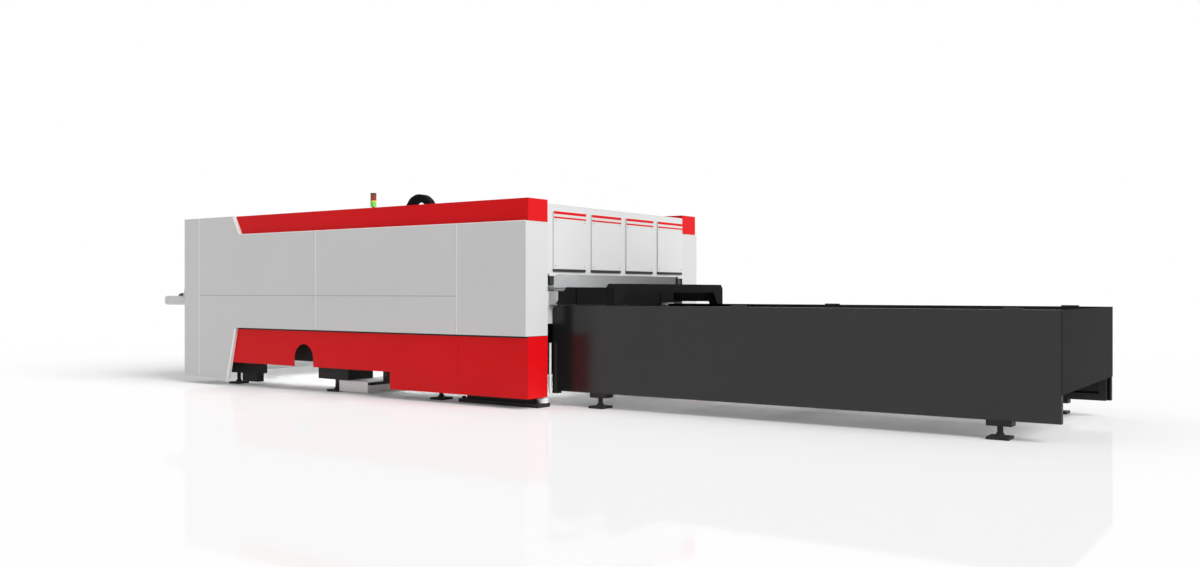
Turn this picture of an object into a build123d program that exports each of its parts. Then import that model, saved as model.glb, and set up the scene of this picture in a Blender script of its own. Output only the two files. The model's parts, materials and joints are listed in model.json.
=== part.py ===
import os

from build123d import *

# Enclosed sheet cutter with an exchange table out of its rear end.
# X runs along the machine towards the table, -Y is the panelled side, Z is up.
# The origin is on the floor at the middle of the outer box. All lengths in millimetres.

# Enclosure
enclosure_length = 5380.0
enclosure_width = 3220.0
enclosure_height = 2000.0
wing_width = 335.0
sheet = 3.0
pan_depth = 38.0
seam_gap = 3.0
overrun = 10.0
running_gap = 0.3

# Cladding: seams are measured from the rear end of the wings, setbacks from the front end
seam_rear = 884.0
seam_middle = 2970.0
column_width = 290.0
seam_mid_z = 1070.0
band_height = 215.0
band_setback_top = 970.0
band_setback_bottom = 1090.0
skirt_top = 692.0
skirt_low_bottom = 100.0
skirt_high_bottom = 280.0
skirt_step = 1840.0
skirt_setback_top = 1010.0
skirt_setback_bottom = 860.0
column_bottom = 90.0
skirt_seam = 2.0
skirt_gap = 18.0
arch_centre = 3200.0
arch_width = 314.0
arch_top = 530.0
frame_bar = 40.0
liner_gap = 10.0

# Roof, rear wall and its covers
roof_drop = 35.0
wall_bottom = 1282.0
wall_depth = 30.0
cover_count = 4
cover_width = 535.0
cover_pitch = 637.0
cover_shift = 25.0
cover_bottom = 1335.0
cover_drop = 104.0
cover_depth = 18.0
stripe_thick = 1.5
stripe_high_height = 26.0
stripe_low_height = 16.0
stripe_gap = 26.0
sensor_width = 60.0
sensor_height = 110.0
sensor_inset = 40.0

# Lift gate in the pallet opening
gate_lap = 30.0
gate_height = 600.0
gate_thick = 12.0
gate_setback = 70.0
guide_width = 40.0
guide_wall = 5.0

# Bed, ledges and rails
bed_half_gap = 950.0
beam_width = 200.0
beam_bottom = 300.0
beam_top = 1120.0
beam_wall = 20.0
bed_front_margin = 250.0
bed_rear_margin = 110.0
ledge_width = 60.0
ledge_thick = 15.0
deck_height = 745.0
deck_spacing = 215.0
cross_height = 90.0
cross_count = 4
leg_front_setback = 810.0
leg_seats = (2960.0, 1370.0, 530.0)
leg_lengths = (520.0, 495.0, 240.0, 860.0)
leg_inset = 50.0
leg_widths = (150.0, 360.0, 150.0, 150.0)
leg_setback = 250.0
leg_arm = 60.0
leg_bottom = 135.0
stub_length = 270.0
stub_bottom = 40.0
stub_width = 100.0
front_foot_offset = 160.0
pad_inset = 60.0
pad_size = 165.0
pad_thick = 22.0
stem_radius = 22.0
nut_radius = 40.0
nut_height = 30.0
base_plate_thick = 40.0
base_plate_margin = 80.0
rail_width = 40.0
rail_height = 45.0
drawer_front = 2860.0
drawer_length = 456.0
drawer_depth = 1500.0
drawer_height = 130.0
drawer_setback = 250.0
drawer_wall = 4.0
drawer_bottom = 12.0
drawer_flange = 15.0
runner_width = 40.0
runner_height = 30.0
grip_reach = 12.0

# Gantry, carriage and cutting head
gantry_length = 260.0
gantry_block = 50.0
gantry_height = 300.0
gantry_wall = 12.0
gantry_place = 2300.0
motor_radius = 55.0
motor_length = 150.0
carriage_width = 300.0
carriage_drop = 30.0
carriage_thick = 40.0
slide_width = 150.0
slide_height = 420.0
slide_thick = 90.0
head_radius = 38.0
head_length = 190.0
nozzle_radius = 7.0
nozzle_length = 70.0
nozzle_clearance = 25.0
head_travel = 200.0

# Pallets
pallet_clearance = 100.0
pallet_end_gap = 120.0
channel_width = 40.0
channel_height = 100.0
channel_wall = 6.0
slat_count = 30
slat_thick = 5.0
slat_height = 85.0
slat_teeth = 10
tooth_depth = 22.0
tooth_land_share = 0.25
wheel_radius = 45.0
wheel_width = 40.0
wheel_count = 4
pallet_bays = 5
axle_radius = 15.0
wheel_offset = 5.0
pallet_start = 300.0

# Exchange table
table_reach = 4585.0
table_start = -30.0
frame_setback = 45.0
table_top = 980.0
table_bottom = 142.0
table_sheet = 4.0
side_depth = 60.0
end_plate_bottom = 355.0
end_plate_depth = 37.0
table_tube = 60.0
table_post_count = 5
post_length = 70.0
post_bottom = 116.0
post_top = 958.0
post_round = 30.0
portal_place = 540.0
portal_depth = 100.0
portal_beam_bottom = 1105.0
portal_top = 1190.0
portal_chamfer = 40.0
portal_leg_bottom_width = 120.0
portal_leg_top_width = 205.0
baffle_place = 10.0
baffle_thick = 6.0
baffle_bottom = 990.0
baffle_top = 1158.0
baffle_half_bottom = 1165.0
baffle_half_top = 990.0
baffle_rib_place = 800.0
baffle_rib_width = 70.0
baffle_rib_thick = 12.0
baffle_rib_inset = 8.0
baffle_arm_inset = 70.0
baffle_arm_width = 100.0
foot_start = 450.0
foot_end = 445.0
foot_inset = 40.0
bracket_length = 190.0
bracket_bottom = 100.0
bracket_reach = 8.0
anchor_radius = 9.0
anchor_inset = 30.0
stop_seats = (1938.0,)
stop_end = 352.0
stop_length = 150.0
stop_width = 36.0
stop_height = 11.0
drive_length = 260.0
drive_radius = 70.0

# Front wall, doors and console
front_depth = 30.0
door_middle = 350.0
door_opening_width = 1200.0
door_opening_bottom = 700.0
door_opening_top = 1750.0
door_lap = 25.0
door_thick = 30.0
door_meeting_gap = 6.0
door_travel = 590.0
track_height = 30.0
track_lip = 6.0
window_margin = 110.0
window_thick = 8.0
handle_length = 320.0
handle_radius = 12.0
handle_stand = 45.0
console_reach = 490.0
tray_width = 620.0
tray_outer_inset = 20.0
tray_bottom = 952.0
tray_top = 1062.0
tray_round = 60.0
tray_edge = 30.0
panel_height = 155.0
panel_foot = 60.0
panel_head = 14.0
monitor_width = 480.0
monitor_height = 320.0
monitor_depth = 45.0
monitor_lift = 250.0
monitor_bezel = 18.0
screen_thick = 4.0
keyboard_length = 150.0
keyboard_width = 400.0
keyboard_height = 22.0
mouse_length = 120.0
mouse_width = 66.0
mouse_height = 36.0
button_radius = 14.0
button_length = 26.0
button_gap = 0.05
button_travel = 6.0
button_head_radius = 20.0
button_head = 14.0
button_spacing = 110.0

# Signal lamp and roof chain
lamp_place = 2585.0
lamp_inset = 500.0
lamp_radius = 33.0
lamp_foot_radius = 46.0
lamp_foot_height = 18.0
lamp_pole_radius = 14.0
lamp_pole_height = 77.0
lens_heights = (50.0, 20.0, 67.0)
lamp_cap_height = 18.0
chain_place = 1950.0
chain_inset = 600.0
chain_outer = 205.0
chain_band = 80.0
chain_depth = 80.0
chain_links = 12
chain_link_step = 6.0
chain_rise = 3.0

# Places worked out from the sizes above
rear = (enclosure_length + console_reach - table_reach) / 2
front = rear - enclosure_length
side = enclosure_width / 2
wing_inner = side - wing_width
seat = side - pan_depth
roof_top = enclosure_height - roof_drop
frame_top = roof_top - sheet
band_bottom = enclosure_height - band_height
cover_top = enclosure_height - cover_drop
table_seat = bed_half_gap + table_tube
table_side = table_seat + side_depth
foot_places = (foot_start, table_reach - foot_end)
foot_y = table_side - foot_inset
stop_places = stop_seats + (table_reach - stop_end,)
leg_places = (enclosure_length - leg_front_setback,) + leg_seats
leg_y_inner = bed_half_gap + leg_inset
leg_y_outer = side - leg_setback
gate_width = 2 * (bed_half_gap + gate_lap)
pallet_half_width = bed_half_gap - pallet_clearance
pallet_length = table_reach - pallet_start - pallet_end_gap
rail_top = beam_top + rail_height
gantry_bottom = rail_top + gantry_block
gantry_top = gantry_bottom + gantry_height
gantry_x = rear - gantry_place
axle_height = deck_height + wheel_radius + running_gap
channel_bottom = axle_height - channel_height / 2 + wheel_offset
slat_bottom = channel_bottom + channel_height / 3
slat_top = slat_bottom + slat_height

os.makedirs("parts", exist_ok=True)


def save(name, shape):
    export_step(Compound(list(shape.solids())), f"parts/{name}.step")


def block(x, y, z):
    middle = Pos((x[0] + x[1]) / 2, (y[0] + y[1]) / 2, (z[0] + z[1]) / 2)
    return middle * Box(x[1] - x[0], y[1] - y[0], z[1] - z[0])


def group(pieces):
    return Compound([solid for piece in pieces for solid in piece.solids()])


def side_plane(y):
    return Plane(origin=(0, y, 0), x_dir=(1, 0, 0), z_dir=(0, -1, 0))


def end_plane(x):
    return Plane(origin=(x, 0, 0), x_dir=(0, 1, 0), z_dir=(1, 0, 0))


def outline(points):
    return make_face(Polyline(*points, close=True))


def pan(plane, face, depth, wall):
    inner = offset(face, -wall, kind=Kind.INTERSECTION)
    return extrude(plane * face, depth) - extrude(plane * inner, depth - wall)


def other_side(shape):
    return mirror(shape, about=Plane.XZ)


def both_sides(near):
    return [near, other_side(near)]


def save_pair(name, near):
    save(name, group(both_sides(near)))


# Side cladding: grey pans stand proud of the red sheets, and both seat on a bar frame
def side_pan(points):
    return pan(side_plane(-seat), outline(points), pan_depth, sheet)


def wrap_plate(x, z):
    return block(x, (-side, -wing_inner), z)


def front_cap():
    edge = front + column_width - seam_gap / 2
    height = (column_bottom, enclosure_height)
    cap = side_pan([(front, height[0]), (edge, height[0]), (edge, height[1]), (front, height[1])])
    return cap + wrap_plate((front, front + sheet), height)


def upper_panel_front():
    x_low, x_high = front + column_width + seam_gap / 2, rear - seam_middle - seam_gap / 2
    low, high = seam_mid_z + seam_gap / 2, band_bottom - seam_gap / 2
    return side_pan([
        (x_low, low),
        (x_high, low),
        (x_high, high),
        (front + band_setback_bottom, high),
        (front + band_setback_bottom, band_bottom),
        (front + band_setback_top, enclosure_height),
        (x_low, enclosure_height),
    ])


def upper_panel(front_seam, rear_seam):
    x_low, x_high = front_seam + seam_gap / 2, rear_seam - seam_gap / 2
    low, high = seam_mid_z + seam_gap / 2, band_bottom - seam_gap / 2
    return side_pan([(x_low, low), (x_high, low), (x_high, high), (x_low, high)])


def lower_panel_front():
    x_low = front + column_width + seam_gap / 2
    x_high = rear - seam_middle - seam_gap / 2
    high = seam_mid_z - seam_gap / 2
    return side_pan([
        (x_low, column_bottom),
        (front + skirt_setback_bottom, column_bottom),
        (front + skirt_setback_top, skirt_top),
        (x_high, skirt_top),
        (x_high, high),
        (x_low, high),
    ])


def lower_panel_middle():
    x_low = rear - seam_middle + seam_gap / 2
    x_high = rear - seam_rear - seam_gap / 2
    high = seam_mid_z - seam_gap / 2
    return side_pan([(x_low, skirt_top), (x_high, skirt_top), (x_high, high), (x_low, high)])


def rear_panel():
    x_low = rear - seam_rear + seam_gap / 2
    high = band_bottom - seam_gap / 2
    panel = side_pan([(x_low, skirt_top), (rear, skirt_top), (rear, high), (x_low, high)])
    return panel + wrap_plate((rear - sheet, rear), (skirt_top, high))


def top_band():
    points = [
        (front + band_setback_bottom, band_bottom),
        (rear, band_bottom),
        (rear, enclosure_height),
        (front + band_setback_top, enclosure_height),
    ]
    width = seat + sheet - wing_inner
    band = extrude(side_plane(-wing_inner) * outline(points), width)
    hollow_x = (front, rear - sheet)
    band -= block(hollow_x, (-seat, -wing_inner - sheet), (band_bottom - overrun, enclosure_height - sheet))
    return band - block(hollow_x, (-seat, -wing_inner + overrun), (band_bottom - overrun, roof_top))


def skirt_front(z):
    fall_share = (skirt_top - z) / (skirt_top - column_bottom)
    return front + skirt_setback_top - fall_share * (skirt_setback_top - skirt_setback_bottom) + seam_gap


def skirt():
    high = skirt_top - skirt_gap
    points = [
        (skirt_front(high), high),
        (skirt_front(skirt_high_bottom), skirt_high_bottom),
        (rear - skirt_step, skirt_high_bottom),
        (rear - skirt_step, skirt_low_bottom),
        (rear, skirt_low_bottom),
        (rear, high),
    ]
    arch_middle = arch_top - arch_width / 2
    plate = extrude(side_plane(-seat) * outline(points), sheet)
    cut_y = (-seat - sheet - overrun, -seat + overrun)
    arch_x = rear - arch_centre
    arch_sides = (arch_x - arch_width / 2, arch_x + arch_width / 2)
    plate -= block(arch_sides, cut_y, (skirt_high_bottom - overrun, arch_middle))
    crown = Cylinder(arch_width / 2, cut_y[1] - cut_y[0], rotation=(90, 0, 0))
    plate -= Pos(arch_x, -seat, arch_middle) * crown
    end_z = (skirt_low_bottom, skirt_top - seam_gap)
    end = block((rear - sheet, rear), (-seat - sheet, -wing_inner), end_z)
    # two upright seams in line with those of the panels above
    for seam in (seam_middle, seam_rear):
        seam_x = (rear - seam - skirt_seam / 2, rear - seam + skirt_seam / 2)
        plate -= block(seam_x, cut_y, (skirt_low_bottom - overrun, skirt_top))
    return plate + end


def wing_frame():
    y = (-seat, -seat + frame_bar)
    half = frame_bar / 2
    posts = (
        (front + sheet + half, column_bottom),
        (front + column_width, column_bottom),
        (rear - seam_middle, skirt_top - skirt_gap / 2 - half),
        (rear - seam_rear, skirt_low_bottom + sheet),
        (rear - sheet - half, skirt_low_bottom + sheet),
    )
    bars = [block((x - half, x + half), y, (z, frame_top)) for x, z in posts]
    # rails between neighbouring posts
    for (left, _), (right, _) in zip(posts, posts[1:]):
        for z in (frame_top - half, band_bottom, seam_mid_z, skirt_top - skirt_gap / 2):
            bars.append(block((left + half, right - half), y, (z - half, z + half)))
    # arms to the bed's side beams, one at each inner post
    reach = (y[1], -bed_half_gap - beam_width)
    for x, _ in posts[1:4]:
        bars.append(block((x - half, x + half), reach, (seam_mid_z - half, seam_mid_z + half)))
    # stiles that back the inner edge of the front and rear wraps
    stile_y = (-wing_inner - frame_bar, -wing_inner)
    for x in ((front + sheet, front + sheet + frame_bar), (rear - sheet - frame_bar, rear - sheet)):
        bars.append(block(x, stile_y, (wall_bottom, frame_top)))
        bars.append(block(x, (y[1], stile_y[0]), (frame_top - frame_bar, frame_top)))
    return group(bars)


save_pair("wing_frames", wing_frame())
save_pair("front_caps", front_cap())
save_pair("front_upper_panels", upper_panel_front())
save_pair("middle_upper_panels", upper_panel(rear - seam_middle, rear - seam_rear))
save_pair("front_lower_panels", lower_panel_front())
save_pair("middle_lower_panels", lower_panel_middle())
save_pair("rear_panels", rear_panel())
save_pair("top_bands", top_band())
save_pair("skirts", skirt())
liner_x = (front + front_depth, rear - wall_depth)
liner_y = (-wing_inner, -wing_inner + sheet)
save_pair("chamber_liners", block(liner_x, liner_y, (beam_top + liner_gap, frame_top)))
save("roof", block((front + sheet, rear - sheet), (-seat, seat), (frame_top, roof_top)))


# White rear wall with its covers, painted stripes and the sensors at the opening's top corners
def rear_wall():
    face = outline([
        (-wing_inner, wall_bottom),
        (wing_inner, wall_bottom),
        (wing_inner, frame_top),
        (-wing_inner, frame_top),
    ])
    return pan(end_plane(rear - wall_depth), face, wall_depth, sheet)


def cover_edges(index):
    middle = cover_shift + (index - (cover_count - 1) / 2) * cover_pitch
    return middle - cover_width / 2, middle + cover_width / 2


def rear_cover(index):
    low, high = cover_edges(index)
    face = outline([(low, cover_bottom), (high, cover_bottom), (high, cover_top), (low, cover_top)])
    cover = pan(end_plane(rear), face, cover_depth, sheet)
    mouth_y = (low + sheet, high - sheet)
    return cover - block((rear, rear + cover_depth - sheet), mouth_y, (cover_bottom, cover_bottom + sheet))


def stripes():
    strips = []
    x = (rear + cover_depth, rear + cover_depth + stripe_thick)
    low_top = cover_top - stripe_high_height - stripe_gap
    for index in range(cover_count):
        strips.append(block(x, cover_edges(index), (cover_top - stripe_high_height, cover_top)))
        strips.append(block(x, cover_edges(index), (low_top - stripe_low_height, low_top)))
    return group(strips)


def opening_sensors():
    y = (-wing_inner + sensor_inset, -wing_inner + sensor_inset + sensor_width)
    body = block((rear - wall_depth, rear), y, (wall_bottom - sensor_height, wall_bottom))
    return group(both_sides(fillet(body.edges().filter_by(Axis.X).group_by(Axis.Z)[0], sensor_width / 3)))


save("rear_wall", rear_wall())
save("rear_covers", group([rear_cover(number) for number in range(cover_count)]))
save("rear_stripes", stripes())
save("opening_sensors", opening_sensors())


# Lift gate, stored raised behind the rear wall, and its channel guides
gate_x = (rear - gate_setback - gate_thick, rear - gate_setback)
gate_top = frame_top - frame_bar


def lift_gate():
    y = (-gate_width / 2, gate_width / 2)
    gate = block(gate_x, y, (gate_top - gate_height, gate_top))
    rib = (gate_top - gate_height, gate_top - gate_height + frame_bar)
    return gate + block((gate_x[1], gate_x[1] + gate_thick), (y[0] + guide_width, y[1] - guide_width), rib)


def gate_guides():
    x = (gate_x[0] - running_gap - guide_wall, gate_x[1] + running_gap + guide_wall)
    y = (-gate_width / 2 - running_gap - guide_wall, -gate_width / 2 + guide_width - running_gap)
    z = (wall_bottom, frame_top)
    guide = block(x, y, z)
    slot_y = (y[0] + guide_wall, y[1] + overrun)
    guide -= block((x[0] + guide_wall, x[1] - guide_wall), slot_y, (z[0] - overrun, z[1] + overrun))
    tab_z = (wall_bottom, wall_bottom + frame_bar)
    tab = block((x[1], rear - wall_depth), (y[0], y[0] + guide_width / 2), tab_z)
    return group(both_sides(guide + tab))


save("lift_gate", lift_gate())
save("gate_guides", gate_guides())


# Welded bed: hollow side beams, cross members, pallet ledges and legs
bed_x = (front + bed_front_margin, rear - bed_rear_margin)


drawer_x = (rear - drawer_front, rear - drawer_front + drawer_length)


def drawer_runners():
    top = drawer_height - drawer_wall - running_gap
    z = (top - runner_height, top)
    y = (-leg_y_outer, leg_y_outer)
    front_x = (drawer_x[0] - runner_width, drawer_x[0] - running_gap)
    rear_x = (drawer_x[1] + running_gap, drawer_x[1] + runner_width)
    # the front runner hangs under the second legs, the rear one on posts from the beams
    hung_x = (front_x[0], drawer_x[0] - drawer_flange - running_gap)
    hanger = block(hung_x, (-leg_y_outer, -leg_y_inner), (top, leg_bottom))
    post_x = (drawer_x[1] + drawer_flange + running_gap, rear_x[1])
    post = block(post_x, (-bed_half_gap - beam_width, -leg_y_inner), (top, beam_bottom))
    return [block(front_x, y, z), block(rear_x, y, z)] + both_sides(hanger) + both_sides(post)


def bed_leg(place, length, width, low):
    x = (rear - place - length / 2, rear - place + length / 2)
    inner = -leg_y_outer + width
    if inner > -bed_half_gap - beam_width:
        return [block(x, (-leg_y_outer, inner), (low, beam_bottom))]
    # a narrow leg stands clear of the beam and is held by an arm at its head
    head = (beam_bottom, beam_bottom + leg_arm)
    post = block(x, (-leg_y_outer, inner), (low, head[1]))
    return [post, block(x, (inner, -bed_half_gap - beam_width), head)]


def front_stub():
    x = rear - leg_places[0] + (leg_lengths[0] - stub_length) / 2
    y = (-leg_y_outer, -leg_y_outer + stub_width)
    return block((x - stub_length / 2, x + stub_length / 2), y, (stub_bottom, leg_bottom))


def bed_frame():
    y = (-bed_half_gap - beam_width, -bed_half_gap)
    beam = block(bed_x, y, (beam_bottom, beam_top))
    inner_y = (y[0] + beam_wall, y[1] - beam_wall)
    inner_z = (beam_bottom + beam_wall, beam_top - beam_wall)
    beam -= block((bed_x[0] - overrun, bed_x[1] + overrun), inner_y, inner_z)
    members = both_sides(beam)
    ledge_z = (deck_height - ledge_thick, deck_height)
    members += both_sides(block((bed_x[0], rear), (y[1], y[1] + ledge_width), ledge_z))
    members += both_sides(front_stub())
    for place, length, width in zip(leg_places, leg_lengths, leg_widths):
        low = base_plate_thick if place == leg_places[-1] else leg_bottom
        for bar in bed_leg(place, length, width, low):
            members += both_sides(bar)
    span = bed_x[1] - bed_x[0] - cross_height
    cross_z = (beam_bottom, beam_bottom + cross_height)
    for number in range(cross_count):
        x = bed_x[0] + span * number / (cross_count - 1)
        members.append(block((x, x + cross_height), (y[1], -y[1]), cross_z))
    return group(members + drawer_runners())


def foot(x, y, top):
    pad = Pos(x, y, pad_thick / 2) * Box(pad_size, pad_size, pad_thick)
    nut = Pos(x, y, pad_thick + nut_height / 2) * Cone(nut_radius, stem_radius, nut_height)
    stem = Pos(x, y, (pad_thick + top) / 2) * Cylinder(stem_radius, top - pad_thick)
    return pad + nut + stem


def bed_feet():
    feet = []
    for place in leg_places[:-1]:
        x = rear - place - (front_foot_offset if place == leg_places[0] else 0)
        feet += both_sides(foot(x, pad_inset - leg_y_outer, leg_bottom))
    x = rear - leg_places[-1]
    half = leg_lengths[-1] / 2 + base_plate_margin
    y = (-leg_y_outer - base_plate_margin / 2, -leg_y_outer + leg_widths[-1])
    return group(feet + both_sides(block((x - half, x + half), y, (0, base_plate_thick))))


def bed_rails():
    middle = -bed_half_gap - beam_width / 2
    y = (middle - rail_width / 2, middle + rail_width / 2)
    return group(both_sides(block(bed_x, y, (beam_top, rail_top))))


def scrap_drawer():
    y = (-side + drawer_setback, -side + drawer_setback + drawer_depth)
    z = (drawer_bottom, drawer_height)
    tray = block(drawer_x, y, z)
    inside = (drawer_x[0] + drawer_wall, drawer_x[1] - drawer_wall)
    tray -= block(inside, (y[0] + drawer_wall, y[1] - drawer_wall), (z[0] + drawer_wall, z[1] + overrun))
    # flanges that run on the bed's runners
    flange_z = (z[1] - drawer_wall, z[1])
    tray += block((drawer_x[0] - drawer_flange, drawer_x[0]), y, flange_z)
    tray += block((drawer_x[1], drawer_x[1] + drawer_flange), y, flange_z)
    third = drawer_length / 3
    grip = (z[1] - drawer_height / 4, z[1] - drawer_height / 6)
    return tray + block((drawer_x[0] + third, drawer_x[1] - third), (y[0] - grip_reach, y[0]), grip)


save("bed_frame", bed_frame())
save("bed_feet", bed_feet())
save("bed_rails", bed_rails())
save("scrap_drawer", scrap_drawer())


# Gantry beam on the rails, carriage on its rear face, vertical slide and cutting head
carriage_bottom = gantry_bottom - carriage_drop
carriage_x = (gantry_x + gantry_length / 2, gantry_x + gantry_length / 2 + carriage_thick)
slide_x = (carriage_x[1] + running_gap, carriage_x[1] + running_gap + slide_thick)
nozzle_tip = slat_top + nozzle_clearance + head_travel
head_top = nozzle_tip + nozzle_length + head_length


def gantry_beam():
    x = (gantry_x - gantry_length / 2, gantry_x + gantry_length / 2)
    half = bed_half_gap + beam_width
    beam = block(x, (-half, half), (gantry_bottom, gantry_top))
    hollow = (gantry_bottom + gantry_wall, gantry_top - gantry_wall)
    beam -= block((x[0] + gantry_wall, x[1] - gantry_wall), (-half - overrun, half + overrun), hollow)
    middle = -bed_half_gap - beam_width / 2
    for y in (middle, -middle):
        shoe = (y - rail_width, y + rail_width)
        beam += block(x, shoe, (rail_top, gantry_bottom))
    return beam


def gantry_motors():
    middle = -bed_half_gap - beam_width / 2
    turned = Cylinder(motor_radius, motor_length)
    motor = Pos(gantry_x, middle, gantry_top + motor_length / 2) * turned
    return group(both_sides(motor))


def carriage():
    y = (-carriage_width / 2, carriage_width / 2)
    hook_z = (gantry_top + running_gap, gantry_top + running_gap + carriage_thick)
    plate = block((carriage_x[0] + running_gap, carriage_x[1]), y, (carriage_bottom, hook_z[1]))
    return plate + block((gantry_x, carriage_x[1]), y, hook_z)


def head_slide():
    y = (-slide_width / 2, slide_width / 2)
    return block(slide_x, y, (head_top, head_top + slide_height))


def cutting_head():
    x = (slide_x[0] + slide_x[1]) / 2
    profile = outline([
        (0, nozzle_tip),
        (nozzle_radius, nozzle_tip),
        (head_radius, nozzle_tip + nozzle_length),
        (head_radius, head_top),
        (0, head_top),
    ])
    return Pos(x, 0, 0) * revolve(Plane.XZ * profile, Axis.Z)


save("gantry_beam", gantry_beam())
save("gantry_motors", gantry_motors())
save("carriage", carriage())
save("head_slide", head_slide())
save("cutting_head", cutting_head())


# Pallets: a channel frame on wheels that carries a row of toothed slats
pallet_x = (rear + pallet_start, rear + pallet_start + pallet_length)


def pallet_frame():
    z = (channel_bottom, channel_bottom + channel_height)
    y = (-pallet_half_width, -pallet_half_width + channel_width)
    # side channels, open towards the rails
    side_bar = block(pallet_x, y, z)
    groove_y = (y[0] - overrun, y[1] - channel_wall)
    side_bar -= block(pallet_x, groove_y, (z[0] + channel_wall, z[1] - channel_wall))
    bars = both_sides(side_bar)
    bay = (pallet_length - channel_width) / pallet_bays
    for number in range(pallet_bays + 1):
        low = pallet_x[0] + bay * number
        high = z[1] if number in (0, pallet_bays) else slat_bottom
        bars.append(block((low, low + channel_width), (y[1], -y[1]), (z[0], high)))
    return bars


def pallet_slats():
    half = pallet_half_width - channel_width
    pitch = 2 * half / slat_teeth
    valley = slat_top - tooth_depth
    land = pitch * tooth_land_share
    points = [(-half, slat_bottom), (half, slat_bottom)]
    for number in range(slat_teeth):
        right = half - pitch * number
        tip = right - pitch / 2
        points += [(right, valley), (tip + land / 2, slat_top), (tip - land / 2, slat_top)]
    points.append((-half, valley))
    face = outline(points)
    bay = (pallet_length - 2 * channel_width) / slat_count
    slats = []
    for number in range(slat_count):
        x = pallet_x[0] + channel_width + bay * (number + 1 / 2)
        slats.append(extrude(end_plane(x - slat_thick / 2) * face, slat_thick))
    return group(slats)


def pallet_wheels():
    z = axle_height
    middle = bed_half_gap - ledge_width / 2
    wheels = []
    for number in range(wheel_count):
        x = pallet_x[0] + pallet_length * (number + 1 / 2) / wheel_count
        tread = Pos(x, -middle, z) * Cylinder(wheel_radius, wheel_width, rotation=(90, 0, 0))
        axle_y = (-middle - wheel_width / 2, -pallet_half_width + channel_width - channel_wall)
        axle = Cylinder(axle_radius, axle_y[1] - axle_y[0], rotation=(90, 0, 0))
        wheels += both_sides(tread + Pos(x, (axle_y[0] + axle_y[1]) / 2, z) * axle)
    return wheels


for level, drop in (("upper", 0.0), ("lower", deck_spacing)):
    save(f"{level}_pallet_frame", Pos(0, 0, -drop) * group(pallet_frame() + pallet_wheels()))
    save(f"{level}_pallet_slats", Pos(0, 0, -drop) * pallet_slats())


# Exchange table: tube frame, rails, glossy side panels, end plate, posts, feet and stops
frame_x = (rear + frame_setback, rear + table_reach - end_plate_depth)


def foot_bracket(place):
    x = (rear + place - bracket_length / 2, rear + place + bracket_length / 2)
    y = (-table_side - bracket_reach, -table_seat + table_tube)
    plate = block(x, y, (bracket_bottom, table_bottom))
    return fillet(plate.edges().filter_by(Axis.Z), bracket_reach)


def table_frame():
    y = (-table_seat, -table_seat + table_tube)
    bottom = (table_bottom, table_bottom + table_tube)
    top = (table_top - table_sheet - 2 * table_tube, table_top - table_sheet - table_tube)
    tubes = both_sides(block(frame_x, y, bottom)) + both_sides(block(frame_x, y, top))
    step = (frame_x[1] - frame_x[0] - table_tube) / (table_post_count - 1)
    for number in range(table_post_count):
        low = frame_x[0] + step * number
        post = (low, low + table_tube)
        tubes += both_sides(block(post, y, (bottom[1], top[0])))
        if number % 2 == 0 and number < table_post_count - 1:
            tubes.append(block(post, (y[1], -y[1]), bottom))
    for place in foot_places:
        tubes += both_sides(foot_bracket(place))
    return group(tubes)


def table_rails():
    y = (-table_seat + table_tube, -table_seat + table_tube + ledge_width)
    rails = []
    for height in (deck_height, deck_height - deck_spacing):
        rails += both_sides(block((rear, frame_x[1]), y, (height - ledge_thick, height)))
    return group(rails)


def table_side_panel():
    x = (rear + table_start, rear + table_reach - table_sheet)
    face = outline([(x[0], table_bottom), (x[1], table_bottom), (x[1], table_top), (x[0], table_top)])
    panel = pan(side_plane(-table_seat), face, side_depth, table_sheet)
    # end post with a rounded head at the enclosure's end
    post = block((x[0] - post_length, x[0]), (-table_side, -table_seat), (post_bottom, post_top))
    corner = post.edges().filter_by(Axis.Y).group_by(Axis.Z)[-1].sort_by(Axis.X)[0]
    return panel + fillet(corner, post_round)


def table_end_plate():
    half = table_seat - table_sheet
    face = outline([
        (-half, end_plate_bottom),
        (half, end_plate_bottom),
        (half, table_top - table_sheet),
        (-half, table_top - table_sheet),
    ])
    plate = pan(end_plane(frame_x[1]), face, end_plate_depth, table_sheet)
    # its face laps over the ends of both side panels
    x = (rear + table_reach - table_sheet, rear + table_reach)
    return plate + block(x, (-table_side, table_side), (end_plate_bottom, table_top))


def bridge_portal():
    half = table_side
    legs = (half - portal_leg_bottom_width, half - portal_leg_top_width)
    face = outline([
        (-half, table_top),
        (-legs[0], table_top),
        (-legs[1], portal_beam_bottom),
        (legs[1], portal_beam_bottom),
        (legs[0], table_top),
        (half, table_top),
        (half, portal_top - portal_chamfer),
        (half - portal_chamfer, portal_top),
        (-half + portal_chamfer, portal_top),
        (-half, portal_top - portal_chamfer),
    ])
    return pan(end_plane(rear + portal_place), face, portal_depth, table_sheet)


def light_baffle():
    points = [
        (-baffle_half_bottom, baffle_bottom),
        (baffle_half_bottom, baffle_bottom),
        (baffle_half_top, baffle_top),
        (-baffle_half_top, baffle_top),
    ]
    x = (rear + baffle_place, rear + baffle_place + baffle_thick)
    plate = extrude(end_plane(x[0]) * outline(points), baffle_thick)
    # two upright ribs on its face, and an arm at each side back to the bed's beam
    rib_y = (-baffle_rib_place - baffle_rib_width / 2, -baffle_rib_place + baffle_rib_width / 2)
    rib_z = (baffle_bottom, baffle_top - baffle_rib_inset)
    plate += group(both_sides(block((x[1], x[1] + baffle_rib_thick), rib_y, rib_z)))
    arm_y = (-bed_half_gap - baffle_arm_inset - baffle_arm_width, -bed_half_gap - baffle_arm_inset)
    arm_z = (baffle_bottom + baffle_rib_inset, beam_top)
    return plate + group(both_sides(block((bed_x[1], x[0]), arm_y, arm_z)))


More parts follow.
